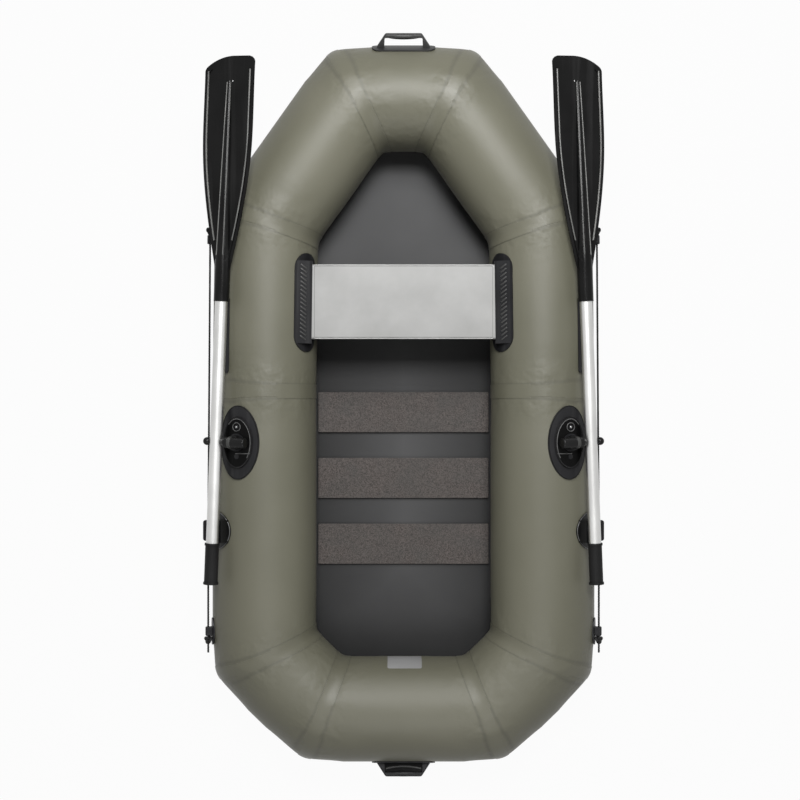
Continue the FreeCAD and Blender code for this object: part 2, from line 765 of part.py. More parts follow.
def carry_handle(name, frame):
    pad = shell_patch(rounded_face(handle_pad_width, handle_pad_length, handle_pad_round),
                      skin_radius, skin_radius + handle_pad_thickness)
    base = tube_radius + handle_base_rise
    top = tube_radius + handle_rise
    under_bar = top - handle_bar
    outer = [Vector(0, -handle_foot_length / 2, base), Vector(0, -handle_bar_length / 2, top),
             Vector(0, handle_bar_length / 2, top), Vector(0, handle_foot_length / 2, base)]
    body = Part.Face(Part.makePolygon(outer + [outer[0]])).extrude(Vector(handle_thickness, 0, 0))
    body.translate(Vector(-handle_thickness / 2, 0, 0))
    long_edges = [edge for edge in body.Edges if edge.BoundBox.XLength < 0.01
                  and edge.BoundBox.ZMax > top - handle_edge_round]
    body = body.makeFillet(handle_edge_round, long_edges)
    foot_y = handle_opening_foot / 2
    top_y = handle_opening_top / 2
    left_top = Vector(0, -top_y, under_bar)
    right_top = Vector(0, top_y, under_bar)
    left_foot = Vector(0, -foot_y, 0)
    right_foot = Vector(0, foot_y, 0)
    bulge = Part.Arc(left_top, Vector(0, 0, under_bar - handle_bar_bulge), right_top).toShape()
    sides = [Part.makeLine(right_top, right_foot), Part.makeLine(right_foot, left_foot),
             Part.makeLine(left_foot, left_top)]
    opening = Part.Face(Part.Wire([bulge] + sides)).extrude(Vector(handle_thickness, 0, 0))
    opening.translate(Vector(-handle_thickness / 2, 0, 0))
    core = Part.makeCylinder(skin_radius, 2 * handle_pad_length,
                             Vector(0, -handle_pad_length, 0), Vector(0, 1, 0))
    handle = body.cut(opening).cut(core).fuse(pad).removeSplitter()
    save(name, moved(handle, frame))


def valve(name, frame, mirror):
    flange = on_skin(disc(valve_flange_radius), tube_radius + valve_flange_thickness)
    cap = on_skin(disc(valve_cap_radius), tube_radius + valve_cap_height)
    rim = [edge for edge in cap.Edges if edge.BoundBox.ZMin > tube_radius + valve_cap_height - 0.01]
    cap = cap.makeFillet(valve_cap_round, rim)
    body = moved(flange.fuse(cap).removeSplitter(), frame)
    save(name, mirrored(body) if mirror else body)


hull_tubes()
slat_floor = floor_sheet()
floor_slats(slat_floor)
seat_plank()
seat_holder()
rowlock_base()
rowlock_turret()
oar_shaft()
oar_blade()
oar_grip()
oar_rest()
wear_pad()
lifeline_eyes()
lifeline()
carry_handle("handle_bow", leaned(end_frame(1), bow_handle_lean))
carry_handle("handle_stern", leaned(end_frame(-1), stern_handle_lean))
valve("valve_fore", leaned(side_frame(fore_valve_station), -valve_lean), True)
valve("valve_aft", leaned(side_frame(aft_valve_station), -valve_lean), False)
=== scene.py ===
import math

import bpy
from mathutils import Matrix, Vector, noise


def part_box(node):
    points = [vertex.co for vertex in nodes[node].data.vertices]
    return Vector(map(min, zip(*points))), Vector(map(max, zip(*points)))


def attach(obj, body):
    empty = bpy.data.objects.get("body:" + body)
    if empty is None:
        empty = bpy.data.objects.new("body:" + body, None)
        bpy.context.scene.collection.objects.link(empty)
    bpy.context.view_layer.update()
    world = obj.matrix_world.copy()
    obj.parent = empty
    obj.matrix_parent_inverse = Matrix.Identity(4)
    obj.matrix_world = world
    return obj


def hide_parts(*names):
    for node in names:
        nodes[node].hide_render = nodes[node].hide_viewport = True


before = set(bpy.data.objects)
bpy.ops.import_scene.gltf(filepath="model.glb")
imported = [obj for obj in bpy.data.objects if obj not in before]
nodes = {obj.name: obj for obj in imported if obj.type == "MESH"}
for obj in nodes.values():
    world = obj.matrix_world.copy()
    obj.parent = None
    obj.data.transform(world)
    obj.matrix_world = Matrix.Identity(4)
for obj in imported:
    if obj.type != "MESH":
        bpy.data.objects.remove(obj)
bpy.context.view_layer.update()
print("frame loaded:", len(nodes), "nodes")

hull = {
    "length": 2.0,
    "beam": 1.07,
    "tubeRadius": 0.145,
    "bowHalfFlat": 0.132,
    "bowSweep": 35.4,
    "forePinch": 0.006,
    "seamStation": 0.036,
    "sternInset": 0.162,
    "sternSweep": 45.9,
    "originShift": 0.008382,  # how far forward of mid hull the origin's zero lies
    "rowlockStation": -0.104,
    "rowlockLean": 24.0,
    "restStation": -0.347,
    "restPadLean": 56.0,
}

sideX = hull["beam"] / 2 - hull["tubeRadius"]
endY = hull["length"] / 2 - hull["tubeRadius"]
tubeRadius = hull["tubeRadius"]


# general helpers
shaping = {
    "smoothAngle": 40,
    "weldReach": 0.00005,
    "bevelSteps": 4,
    "discSteps": 3,
    "capRise": 0.9,  # how far along the axis the normal of a disc's end points
    "tubeResolution": 2,
}


def clamp(share):
    return min(1.0, max(0.0, share))


def clearSelection():
    if bpy.context.mode != "OBJECT":
        bpy.ops.object.mode_set(mode="OBJECT")
    bpy.ops.object.select_all(action="DESELECT")


def activate(obj):
    clearSelection()
    obj.select_set(True)
    bpy.context.view_layer.objects.active = obj


def editAll(obj):
    # edit mode with the whole mesh selected
    activate(obj)
    bpy.ops.object.mode_set(mode="EDIT")
    bpy.ops.mesh.select_all(action="SELECT")


def leaveEdit():
    bpy.ops.object.mode_set(mode="OBJECT")


def applyPlace(obj):
    activate(obj)
    bpy.ops.object.transform_apply(location=True, rotation=True, scale=True)


def applyModifiers(obj):
    activate(obj)
    for modifier in list(obj.modifiers):
        bpy.ops.object.modifier_apply(modifier=modifier.name)


def joinPieces(pieces):
    clearSelection()
    for piece in pieces:
        piece.select_set(True)
    bpy.context.view_layer.objects.active = pieces[0]
    bpy.ops.object.join()
    return bpy.context.view_layer.objects.active


def weld(obj, distance=shaping["weldReach"]):
    editAll(obj)
    bpy.ops.mesh.remove_doubles(threshold=distance)
    bpy.ops.mesh.normals_make_consistent(inside=False)
    leaveEdit()


def placeInFrame(obj, frameMatrix):
    obj.data.transform(frameMatrix)
    return obj


def newObject(name, data):
    obj = bpy.data.objects.new(name, data)
    bpy.context.scene.collection.objects.link(obj)
    return obj


def copyPiece(source):
    copy = source.copy()
    copy.data = source.data.copy()
    bpy.context.scene.collection.objects.link(copy)
    return copy


def mirroredCopy(source):
    copy = copyPiece(source)
    copy.scale = (-1, 1, 1)
    applyPlace(copy)
    editAll(copy)
    bpy.ops.mesh.normals_make_consistent(inside=False)
    leaveEdit()
    return copy


def addCube(place=(0, 0, 0)):
    clearSelection()
    bpy.ops.mesh.primitive_cube_add(size=1, location=place)
    return bpy.context.object


def roundEdges(obj, reach, segments=shaping["bevelSteps"]):
    editAll(obj)
    bpy.ops.mesh.bevel(offset=reach, segments=segments, affect="EDGES")
    leaveEdit()


def cutAway(obj, point, normal, place=Matrix.Identity(4), fill=True):
    # cuts off what lies beyond a plane, given in a frame of its own
    editAll(obj)
    bpy.ops.mesh.bisect(plane_co=place @ Vector(point), plane_no=place.to_3x3() @ Vector(normal),
                        clear_outer=True, use_fill=fill)
    leaveEdit()


def subtract(obj, cutter):
    cut = obj.modifiers.new("cut", "BOOLEAN")
    cut.object = cutter
    cut.operation = "DIFFERENCE"
    applyModifiers(obj)
    bpy.data.objects.remove(cutter)


def thicken(obj, thickness, offset=1):
    wall = obj.modifiers.new("wall", "SOLIDIFY")
    wall.thickness = thickness
    wall.offset = offset
    applyModifiers(obj)


def selectItems(obj, mode, wanted):
    # edit mode with the wanted vertices, edges or faces selected
    activate(obj)
    bpy.ops.object.mode_set(mode="EDIT")
    bpy.ops.mesh.select_mode(type=mode)
    bpy.ops.mesh.select_all(action="DESELECT")
    leaveEdit()
    mesh = obj.data
    items = {"VERT": mesh.vertices, "EDGE": mesh.edges, "FACE": mesh.polygons}[mode]
    for item, chosen in zip(items, wanted):
        item.select = chosen
    bpy.ops.object.mode_set(mode="EDIT")


def roundedDisc(vertices, radius, depth, reach, bothEnds):
    # a short cylinder with its top edge rounded, or both its edges
    clearSelection()
    bpy.ops.mesh.primitive_cylinder_add(vertices=vertices, radius=radius, depth=depth,
                                        location=(0, 0, 0))
    disc = bpy.context.object
    rises = [abs(face.normal.z) if bothEnds else face.normal.z for face in disc.data.polygons]
    selectItems(disc, "FACE", [rise > shaping["capRise"] for rise in rises])
    bpy.ops.mesh.bevel(offset=reach, segments=shaping["discSteps"], affect="EDGES")
    leaveEdit()
    return disc


def dress(obj, name, material, angle=shaping["smoothAngle"], body="hull",
          stands=()):
    activate(obj)
    bpy.ops.object.shade_smooth_by_angle(angle=math.radians(angle))
    obj.name = name
    obj.data.name = name
    obj.data.materials.clear()
    obj.data.materials.append(material)
    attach(obj, body)
    if stands:
        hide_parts(*stands)


def dressPair(piece, stem, material, angle=shaping["smoothAngle"], onOar=False,
              node=None):
    # a starboard piece and its mirrored copy on the port side
    for side, obj in (("_starboard", piece), ("_port", mirroredCopy(piece))):
        dress(obj, stem + side, material, angle=angle, body="oar" + side if onOar else "hull",
              stands=[node + side] if node else ())


# shared node groups
texture = {
    "patchDetail": 4,
    "grainDetail": 2,
    "mottleSpread": (0.3, 0.7),
    "streakSquash": (1, 0.06, 1),
    "streakDetail": 5,
    "streakSpread": (0.52, 0.75),
    "puckerDetail": 2,
}


def newGroup(name, inputs, outputs):
    group = bpy.data.node_groups.new(name, "ShaderNodeTree")
    for label, value in inputs.items():
        socket = group.interface.new_socket(label, in_out="INPUT", socket_type="NodeSocketFloat")
        socket.default_value = value
    for label in outputs:
        group.interface.new_socket(label, in_out="OUTPUT", socket_type="NodeSocketFloat")
    return group, group.nodes.new("NodeGroupInput"), group.nodes.new("NodeGroupOutput")


def feed(tree, value, socket):
    # links another node's output, or sets a plain number or colour
    if isinstance(value, bpy.types.NodeSocket):
        tree.links.new(value, socket)
    else:
        socket.default_value = (*value, 1) if isinstance(value, tuple) else value


def mathNode(tree, operation, first, second):
    node = tree.nodes.new("ShaderNodeMath")
    node.operation = operation
    feed(tree, first, node.inputs[0])
    feed(tree, second, node.inputs[1])
    return node.outputs[0]


def mixColour(tree, share, first, second):
    node = tree.nodes.new("ShaderNodeMix")
    node.data_type = "RGBA"
    for label, value in (("Factor", share), ("A", first), ("B", second)):
        feed(tree, value, node.inputs[label])
    return node.outputs["Result"]


def mapRange(tree, share, ends, low, high):
    # ends tells which pair is set: what it maps from, or what it maps to
    spread = tree.nodes.new("ShaderNodeMapRange")
    spread.inputs[ends + " Min"].default_value = low
    spread.inputs[ends + " Max"].default_value = high
    tree.links.new(share, spread.inputs["Value"])
    return spread.outputs["Result"]


def noiseCloud(tree, place, scale, detail):
    cloud = tree.nodes.new("ShaderNodeTexNoise")
    cloud.inputs["Detail"].default_value = detail
    tree.links.new(place, cloud.inputs["Vector"])
    feed(tree, scale, cloud.inputs["Scale"])
    return cloud.outputs["Fac"]


def objectPlace(tree):
    return tree.nodes.new("ShaderNodeTexCoord").outputs["Object"]


def buildMottle():
    # large soft patches and fine grain, for colour and roughness
    group, entry, leave = newGroup("mottle", {"Patch Scale": 4.0, "Grain Scale": 600.0},
                                   ("Patches", "Grain"))
    place = objectPlace(group)
    for label, scaleName, detail in (("Patches", "Patch Scale", texture["patchDetail"]),
                                     ("Grain", "Grain Scale", texture["grainDetail"])):
        cloud = noiseCloud(group, place, entry.outputs[scaleName], detail)
        spread = mapRange(group, cloud, "From", *texture["mottleSpread"])
        group.links.new(spread, leave.inputs[label])
    return group


def buildWeave():
    # the cloth's threads showing through a coating, as a height
    group, entry, leave = newGroup("weave", {"Thread Scale": 300.0}, ("Height",))
    place = objectPlace(group)
    heights = []
    for direction in ("X", "Y"):
        threads = group.nodes.new("ShaderNodeTexWave")
        threads.bands_direction = direction
        group.links.new(place, threads.inputs["Vector"])
        group.links.new(entry.outputs["Thread Scale"], threads.inputs["Scale"])
        heights.append(threads.outputs["Fac"])
    group.links.new(mathNode(group, "ADD", *heights), leave.inputs["Height"])
    return group


def buildScuff():
    # thin rubbed streaks along Y
    group, entry, leave = newGroup("scuff", {"Streak Scale": 40.0, "Amount": 0.5}, ("Streaks",))
    stretch = group.nodes.new("ShaderNodeMapping")
    stretch.inputs["Scale"].default_value = texture["streakSquash"]
    group.links.new(objectPlace(group), stretch.inputs["Vector"])
    streaks = noiseCloud(group, stretch.outputs["Vector"], entry.outputs["Streak Scale"],
                         texture["streakDetail"])
    spread = mapRange(group, streaks, "From", *texture["streakSpread"])
    amount = mathNode(group, "MULTIPLY", spread, entry.outputs["Amount"])
    group.links.new(amount, leave.inputs["Streaks"])
    return group


mottleGroup = buildMottle()
weaveGroup = buildWeave()
scuffGroup = buildScuff()


def useGroup(tree, group, **values):
    node = tree.nodes.new("ShaderNodeGroup")
    node.node_tree = group
    for label, value in values.items():
        node.inputs[label.replace("_", " ")].default_value = value
    return node


def newMaterial(name):
    material = bpy.data.materials.new(name)
    material.use_nodes = True
    tree = material.node_tree
    return material, tree, tree.nodes["Principled BSDF"]


def addBump(tree, shader, height, distance):
    bump = tree.nodes.new("ShaderNodeBump")
    bump.inputs["Distance"].default_value = distance
    bump.inputs["Strength"].default_value = 1.0
    tree.links.new(height, bump.inputs["Height"])
    previous = shader.inputs["Normal"].links
    if previous:
        tree.links.new(previous[0].from_socket, bump.inputs["Normal"])
    tree.links.new(bump.outputs["Normal"], shader.inputs["Normal"])


def setSurface(tree, shader, colour, share, roughness, specular):
    # the roughness runs between its two values with the share
    tree.links.new(colour, shader.inputs["Base Color"])
    tree.links.new(mapRange(tree, share, "To", *roughness), shader.inputs["Roughness"])
    shader.inputs["Specular IOR Level"].default_value = specular


def readAttribute(tree, name):
    node = tree.nodes.new("ShaderNodeAttribute")
    node.attribute_name = name
    return node.outputs["Fac"]


def coatedCloth(name, cloth):
    # the start of a coated cloth's finish: patchy colour, and threads that show through
    material, tree, shader = newMaterial(name)
    mottle = useGroup(tree, mottleGroup, Patch_Scale=cloth["patchScale"],
                      Grain_Scale=cloth["grainScale"])
    colour = mixColour(tree, mottle.outputs["Patches"], cloth["colour"], cloth["paleColour"])
    weave = useGroup(tree, weaveGroup, Thread_Scale=cloth["threadScale"])
    addBump(tree, shader, weave.outputs["Height"], cloth["threadDepth"])
    return material, tree, shader, mottle, colour


def plainMoulded(name, dark, light, roughness, grainSize=500.0, grainDepth=0.00008,
                 patchScale=9.0, metallic=0.0, specular=0.5, streaks=0.0,
                 streakColour=(0.2, 0.2, 0.2)):
    # a moulded or metal finish: patchy colour, fine grain, rubbed streaks
    material, tree, shader = newMaterial(name)
    mottle = useGroup(tree, mottleGroup, Patch_Scale=patchScale, Grain_Scale=grainSize)
    colour = mixColour(tree, mottle.outputs["Patches"], dark, light)
    if streaks:
        scuff = useGroup(tree, scuffGroup, Amount=streaks)
        colour = mixColour(tree, scuff.outputs["Streaks"], colour, streakColour)
    setSurface(tree, shader, colour, mottle.outputs["Patches"], roughness, specular)
    shader.inputs["Metallic"].default_value = metallic
    addBump(tree, shader, mottle.outputs["Grain"], grainDepth)
    return material


# hull tubes
skin = {
    "segments": 96,
    "edgeRings": (0.0, 0.006, 0.012, 0.0175, 0.0187, 0.0199, 0.027, 0.036),  # from a seam
    "ringPitch": 0.02,
    "smoothReach": 0.1,
    "smoothFactor": 0.5,
    "smoothPasses": ((-1.0, 10), (-0.05, 10), (0.0, 20), (0.05, 30)),  # from how far outboard
    "tapeReach": 0.0176,
    "tapeHeight": 0.0011,
    "seamNearby": 2.2,  # how many tube radii away a seam still counts
    "gluePlace": 0.0187,
    "glueHalf": 0.0004,
    "puckerReach": 0.11,
    "puckerScale": 22,
    "puckerDepth": 0.006,
    "patchScale": 3.0,
    "grainScale": 900.0,
    "threadScale": 260.0,
    "threadDepth": 0.00004,
    "grainDepth": 0.00006,
    "glueColour": (0.086, 0.084, 0.063),
    "colour": (0.100, 0.098, 0.071),
    "paleColour": (0.119, 0.116, 0.086),
    "roughness": (0.43, 0.50),
    "specular": 0.37,
    "tapeRoughness": (0.34, 0.44),
}


def ringCorners():
    pinchedX = sideX - hull["forePinch"]
    shoulderY = endY - (pinchedX - hull["bowHalfFlat"]) / math.tan(math.radians(hull["bowSweep"]))
    quarterY = -endY + hull["sternInset"] / math.tan(math.radians(hull["sternSweep"]))
    half = [(hull["bowHalfFlat"], endY), (pinchedX, shoulderY), (sideX, hull["seamStation"]),
            (sideX, quarterY), (sideX - hull["sternInset"], -endY)]
    whole = half + [(-x, y) for x, y in reversed(half)]
    return [Vector((x, y + hull["originShift"], tubeRadius)) for x, y in whole]


corners = ringCorners()


def sideFrame(station, lean=0.0):
    # a frame on the starboard side tube's axis, its Z leaned outboard and its Y along the tube
    seam, shoulder = corners[2], corners[1]
    place = station + hull["originShift"]
    direction = Vector((0, 1, 0))
    base = Vector((sideX, place, tubeRadius))
    if place > seam.y:
        direction = (shoulder - seam).normalized()
        base = seam.lerp(shoulder, (place - seam.y) / (shoulder.y - seam.y))
    upward = Vector((0, 0, 1))
    frameTurn = Matrix((direction.cross(upward), direction, upward)).transposed().to_4x4()
    return Matrix.Translation(base) @ frameTurn @ Matrix.Rotation(math.radians(lean), 4, "Y")


def mitreNormal(index):
    arriving = (corners[index] - corners[index - 1]).normalized()
    leaving = (corners[(index + 1) % len(corners)] - corners[index]).normalized()
    return (arriving + leaving).normalized()


def tubeSpan(index):
    # one straight tube between two seams, its rings leaning with the seams at its ends
    start, end = corners[index], corners[(index + 1) % len(corners)]
    run = end - start
    direction = run.normalized()
    normals = mitreNormal(index), mitreNormal((index + 1) % len(corners))
    edgeRings = skin["edgeRings"]
    middle = max(2, round((run.length - 2 * edgeRings[-1]) / skin["ringPitch"]))
    offsets = [(distance, 0) for distance in edgeRings]
    offsets += [(None, step / middle) for step in range(1, middle)]
    offsets += [(distance, 1) for distance in reversed(edgeRings)]
    clearSelection()
    bpy.ops.mesh.primitive_cylinder_add(vertices=skin["segments"], radius=tubeRadius,
                                        depth=1, end_fill_type="NOTHING", location=(0, 0, 0))
    tube = bpy.context.object
    heights = [[tube.data.vertices[v].co.z for v in edge.vertices] for edge in tube.data.edges]
    selectItems(tube, "EDGE", [low != high for low, high in heights])
    bpy.ops.mesh.subdivide(number_cuts=len(offsets) - 2)
    leaveEdit()
    across = direction.cross(Vector((0, 0, 1)))
    for vertex in tube.data.vertices:
        ring = round((vertex.co.z + 0.5) * (len(offsets) - 1))
        spoke = across * vertex.co.x + Vector((0, 0, vertex.co.y))
        slides = [-spoke.dot(normal) / direction.dot(normal) for normal in normals]
        stretch = [1 / direction.dot(normal) for normal in normals]
        distance, share = offsets[ring]
        first = slides[0] + edgeRings[-1] * stretch[0]
        last = run.length + slides[1] - edgeRings[-1] * stretch[1]
        if distance is None:
            along = first + (last - first) * share
        elif share == 0:
            along = slides[0] + distance * stretch[0]
        else:
            along = run.length + slides[1] - distance * stretch[1]
        vertex.co = start + spoke + direction * along
    return tube


def seamDistance(point):
    # distance to the nearest seam's plane, on the tube beside it
    best = 1.0
    for index, corner in enumerate(corners):
        flat = Vector((point.x, point.y, tubeRadius))
        if (flat - corner).length < skin["seamNearby"] * tubeRadius:
            best = min(best, abs((point - corner).dot(mitreNormal(index))))
    return best


def outboardReach(point):
    # how far a point lies outboard of the nearest corner
    flat = Vector((point.x, point.y, tubeRadius))
    corner = min(corners, key=lambda place: (place - flat).length)
    outward = Vector((corner.x, corner.y - hull["originShift"], 0)).normalized()
    return (flat - corner).dot(outward)


def hullSkin():
    tubeSkin = joinPieces([tubeSpan(index) for index in range(len(corners))])
    weld(tubeSkin)
    near = [seamDistance(vertex.co) for vertex in tubeSkin.data.vertices]
    outboard = [outboardReach(vertex.co) for vertex in tubeSkin.data.vertices]
    for least, steps in skin["smoothPasses"]:
        selectItems(tubeSkin, "VERT", [distance < skin["smoothReach"] and out > least
                                       for distance, out in zip(near, outboard)])
        bpy.ops.mesh.vertices_smooth(factor=skin["smoothFactor"], repeat=steps)
        leaveEdit()
    mark = tubeSkin.data.attributes.new("seamNear", "FLOAT", "POINT")
    for item, distance in zip(mark.data, near):
        item.value = max(0.0, 1 - distance / skin["puckerReach"])
    glue = tubeSkin.data.attributes.new("glueLine", "FLOAT", "POINT")
    for item, distance in zip(glue.data, near):
        item.value = 1.0 if abs(distance - skin["gluePlace"]) < skin["glueHalf"] else 0.0
    return tubeSkin


def splitCopy(source, wanted):
    # a new piece from some faces of another
    copy = copyPiece(source)
    selectItems(copy, "FACE", [not chosen for chosen in wanted])
    bpy.ops.mesh.delete(type="FACE")
    leaveEdit()
    return copy


def skinMaterial(name, wrinkled):
    material, tree, shader, mottle, colour = coatedCloth(name, skin)
    roughness = skin["roughness"] if wrinkled else skin["tapeRoughness"]
    addBump(tree, shader, mottle.outputs["Grain"], skin["grainDepth"])
    if wrinkled:
        colour = mixColour(tree, readAttribute(tree, "glueLine"), colour, skin["glueColour"])
        puckers = noiseCloud(tree, objectPlace(tree), skin["puckerScale"], texture["puckerDetail"])
        height = mathNode(tree, "MULTIPLY", puckers, readAttribute(tree, "seamNear"))
        addBump(tree, shader, height, skin["puckerDepth"])
    setSurface(tree, shader, colour, mottle.outputs["Patches"], roughness, skin["specular"])
    return material


tubeSkin = hullSkin()
faceNear = [seamDistance(face.center) < skin["tapeReach"] for face in tubeSkin.data.polygons]
seamTapes = splitCopy(tubeSkin, faceNear)
thicken(seamTapes, skin["tapeHeight"])
tubeNodes = [name for name in nodes if name.startswith("tube_")]
dress(tubeSkin, "tubeSkin", skinMaterial("tubeCoating", True),
      stands=tubeNodes)
dress(seamTapes, "seamTapes", skinMaterial("seamTapeCoating", False))
print("tubes done")

# floor sheet
floor = {
    "joinAngle": 35.0,
    "flapAngle": 12.0,
    "flapMargin": 1.0,
    "thickness": 0.0012,
    "tuck": 0.0025,  # how far the sheet's edge runs on over the flap
    "skinRadius": 0.1453,
    "cuts": (56, 132),
    "wave": 0.0012,
    "waveScale": 3.1,
    "waveMiddle": 0.4,
    "waveReach": 0.08,  # the wave dies away toward the edge, which meets the flap
    "colour": (0.056, 0.056, 0.057),
    "paleColour": (0.080, 0.080, 0.081),
    # painted shade: the floor darkens to this colour toward the tubes and the aft end
    "paintedShadeColour": (0.012, 0.012, 0.012),
    "paintedShadeReach": 0.33,
    "paintedShadeShare": 0.92,
    "paintedShadeFrom": (0.45, 0.3),  # painted shade on the edges begins here and is full this much farther aft
    "roughness": (0.38, 0.5),
    "specular": 0.08,
    "patchScale": 2.5,
    "grainScale": 700.0,
    "threadScale": 220.0,
    "threadDepth": 0.0001,
}


def floorPiece():
    join = math.radians(floor["joinAngle"])
    top = tubeRadius - floor["skinRadius"] * math.cos(join)
    inset = (floor["skinRadius"] + floor["thickness"]) * math.sin(join) - floor["tuck"]
    cutsAcross, cutsAlong = floor["cuts"]
    clearSelection()
    bpy.ops.mesh.primitive_grid_add(x_subdivisions=cutsAcross, y_subdivisions=cutsAlong, size=1,
                                    location=(0, hull["originShift"], top))
    cloth = bpy.context.object
    cloth.scale = (2 * sideX, 2 * endY, 1)
    applyPlace(cloth)
    edges = []
    for index, start in enumerate(corners):
        end = corners[(index + 1) % len(corners)]
        outward = (end - start).normalized().cross(Vector((0, 0, -1)))
        edges.append((start - outward * inset, outward))
        cutAway(cloth, *edges[-1], fill=False)
    # painted shade: the mask grows toward the tubes and toward the aft end, where their shade falls
    paintedShadeStart, paintedShadeFade = floor["paintedShadeFrom"]
    paintedShadeMask = cloth.data.attributes.new("paintedShadeEdge", "FLOAT", "POINT")
    for vertex, item in zip(cloth.data.vertices, paintedShadeMask.data):
        rise = noise.noise(vertex.co * floor["waveScale"]) - floor["waveMiddle"]
        inside = min((point - vertex.co).dot(outward) for point, outward in edges)
        vertex.co.z += floor["wave"] * rise * clamp(inside / floor["waveReach"])
        aftShadeShare = clamp((paintedShadeStart - vertex.co.y) / paintedShadeFade)
        item.value = clamp(1 - inside / floor["paintedShadeReach"]) * aftShadeShare
    return cloth


floorCloth = floorPiece()
thicken(floorCloth, floor["thickness"], offset=-1)


def onFlap(face):
    # faces under the inboard side of the tubes, between the flap's edges
    normal = face.normal
    inward = Vector((-face.center.x, -face.center.y + hull["originShift"], 0))
    if normal.z > 0 or normal.dot(inward) < 0:
        return False
    lean = math.degrees(math.acos(min(1, -normal.z)))
    return floor["flapAngle"] - floor["flapMargin"] < lean < floor["joinAngle"] + floor["flapMargin"]


floorFlap = splitCopy(tubeSkin, [onFlap(face) for face in tubeSkin.data.polygons])
thicken(floorFlap, floor["thickness"])
floorSheet = joinPieces([floorCloth, floorFlap])


def floorMaterial():
    material, tree, shader, mottle, colour = coatedCloth("floorCoating", floor)
    # painted shade darkens the colour along the mask
    paintedShadeShare = mapRange(tree, readAttribute(tree, "paintedShadeEdge"), "To", 0.0, floor["paintedShadeShare"])
    colour = mixColour(tree, paintedShadeShare, colour, floor["paintedShadeColour"])
    setSurface(tree, shader, colour, mottle.outputs["Patches"], floor["roughness"],
               floor["specular"])
    return material


dress(floorSheet, "floorSheet", floorMaterial(), stands=["floor_sheet"])
# cut flat from one sheet, its flap turned up and glued under the tubes all round
print("floor done")

# finishes of the nodes that stay
slat = {
    "darkGrain": (0.032, 0.027, 0.025),
    "lightGrain": (0.112, 0.097, 0.090),
    "tint": (0.052, 0.054, 0.052),
    "tintShare": 0.4,
    "patchScale": 16.0,
    "grainScale": 330.0,
    "roughness": (0.42, 0.58),
    "specular": 0.12,
    "grainDepth": 0.0003,
    "edgeRound": 0.0028,
    "edgeSteps": 3,
}


def slatMaterial():
    # speckled film on the slats, with faint grey tints
    material, tree, shader = newMaterial("slatFilm")
    mottle = useGroup(tree, mottleGroup, Patch_Scale=slat["patchScale"],
                      Grain_Scale=slat["grainScale"])
    speckle = mixColour(tree, mottle.outputs["Grain"], slat["darkGrain"], slat["lightGrain"])
    tintShare = mapRange(tree, mottle.outputs["Patches"], "To", 0.0, slat["tintShare"])
    colour = mixColour(tree, tintShare, speckle, slat["tint"])
    setSurface(tree, shader, colour, mottle.outputs["Grain"], slat["roughness"], slat["specular"])
    addBump(tree, shader, mottle.outputs["Grain"], slat["grainDepth"])
    return material


finishes = {
    "slatWood": slatMaterial(),
    "seatMetal": plainMoulded("seatAluminium", (0.205, 0.205, 0.20), (0.265, 0.265, 0.26),
                              (0.44, 0.52), metallic=0.2, grainDepth=0.00003, specular=0.25),
    # painted highlights: a lighter metal for the plank's rolled edges
    "paintedHighlightMetal": plainMoulded("paintedHighlightAluminium", (0.42, 0.42, 0.41), (0.50, 0.50, 0.49),
                             (0.40, 0.48), grainDepth=0.00003, specular=0.3),
    "shaftMetal": plainMoulded("shaftAluminium", (0.53, 0.53, 0.52), (0.60, 0.60, 0.59),
                               (0.34, 0.40), metallic=1.0, grainDepth=0.00003),
    "blackFitting": plainMoulded("blackFitting", (0.007, 0.007, 0.008), (0.014, 0.014, 0.015),
                                 (0.34, 0.44), streaks=0.08, specular=0.16),
    # painted light and shade: lighter than the black fittings for highlight bands and bars, darker
    # than the seat plank for the shade in its folds
    "paintedLightShadeGrey": plainMoulded("paintedLightShadeGrey", (0.030, 0.030, 0.029), (0.045, 0.045, 0.043),
                             (0.34, 0.44), specular=0.3),
    # painted highlights: a lighter finish for the rims of the rowlocks and rests
    "paintedHighlightEdge": plainMoulded("paintedHighlightEdge", (0.050, 0.050, 0.050), (0.110, 0.110, 0.108),
                             (0.30, 0.40), patchScale=40.0, specular=0.4),
    "blackPlastic": plainMoulded("blackPlastic", (0.004, 0.004, 0.004), (0.008, 0.008, 0.008),
                                 (0.20, 0.28), specular=0.16),
    "deepBlack": plainMoulded("deepBlack", (0.002, 0.002, 0.002), (0.004, 0.004, 0.004),
                              (0.24, 0.32), specular=0.06),
    "bladePlastic": plainMoulded("bladePlastic", (0.002, 0.002, 0.002), (0.005, 0.005, 0.005),
                                 (0.20, 0.26), streaks=0.05, specular=0.12),
    # painted highlights: a lighter plastic for the beads on the blades
    "paintedHighlightPlastic": plainMoulded("paintedHighlightPlastic", (0.065, 0.065, 0.062), (0.125, 0.125, 0.118),
                                (0.28, 0.36), patchScale=14.0, specular=0.4),
    "gripRubber": plainMoulded("gripRubber", (0.006, 0.006, 0.006), (0.011, 0.011, 0.011),
                               (0.50, 0.60), grainDepth=0.0003, specular=0.12),
    "handleRubber": plainMoulded("handleRubber", (0.014, 0.014, 0.014), (0.024, 0.024, 0.023),
                                 (0.38, 0.48), specular=0.25),
    "rope": plainMoulded("ropeYarn", (0.008, 0.008, 0.008), (0.02, 0.02, 0.02), (0.6, 0.75),
                         specular=0.2),
}
nodeFinish = {
    "seat_plank": "seatMetal", "seat_pad": "blackFitting", "seat_rail": "blackFitting",
    "rowlock_base": "blackFitting", "rowlock_turret": "blackPlastic",
    "rowlock_pin": "blackPlastic", "oar_shaft": "shaftMetal", "oar_grip": "gripRubber",
    "wear_pad": "blackFitting", "lifeline_eye": "blackFitting", "valve": "blackPlastic",
}


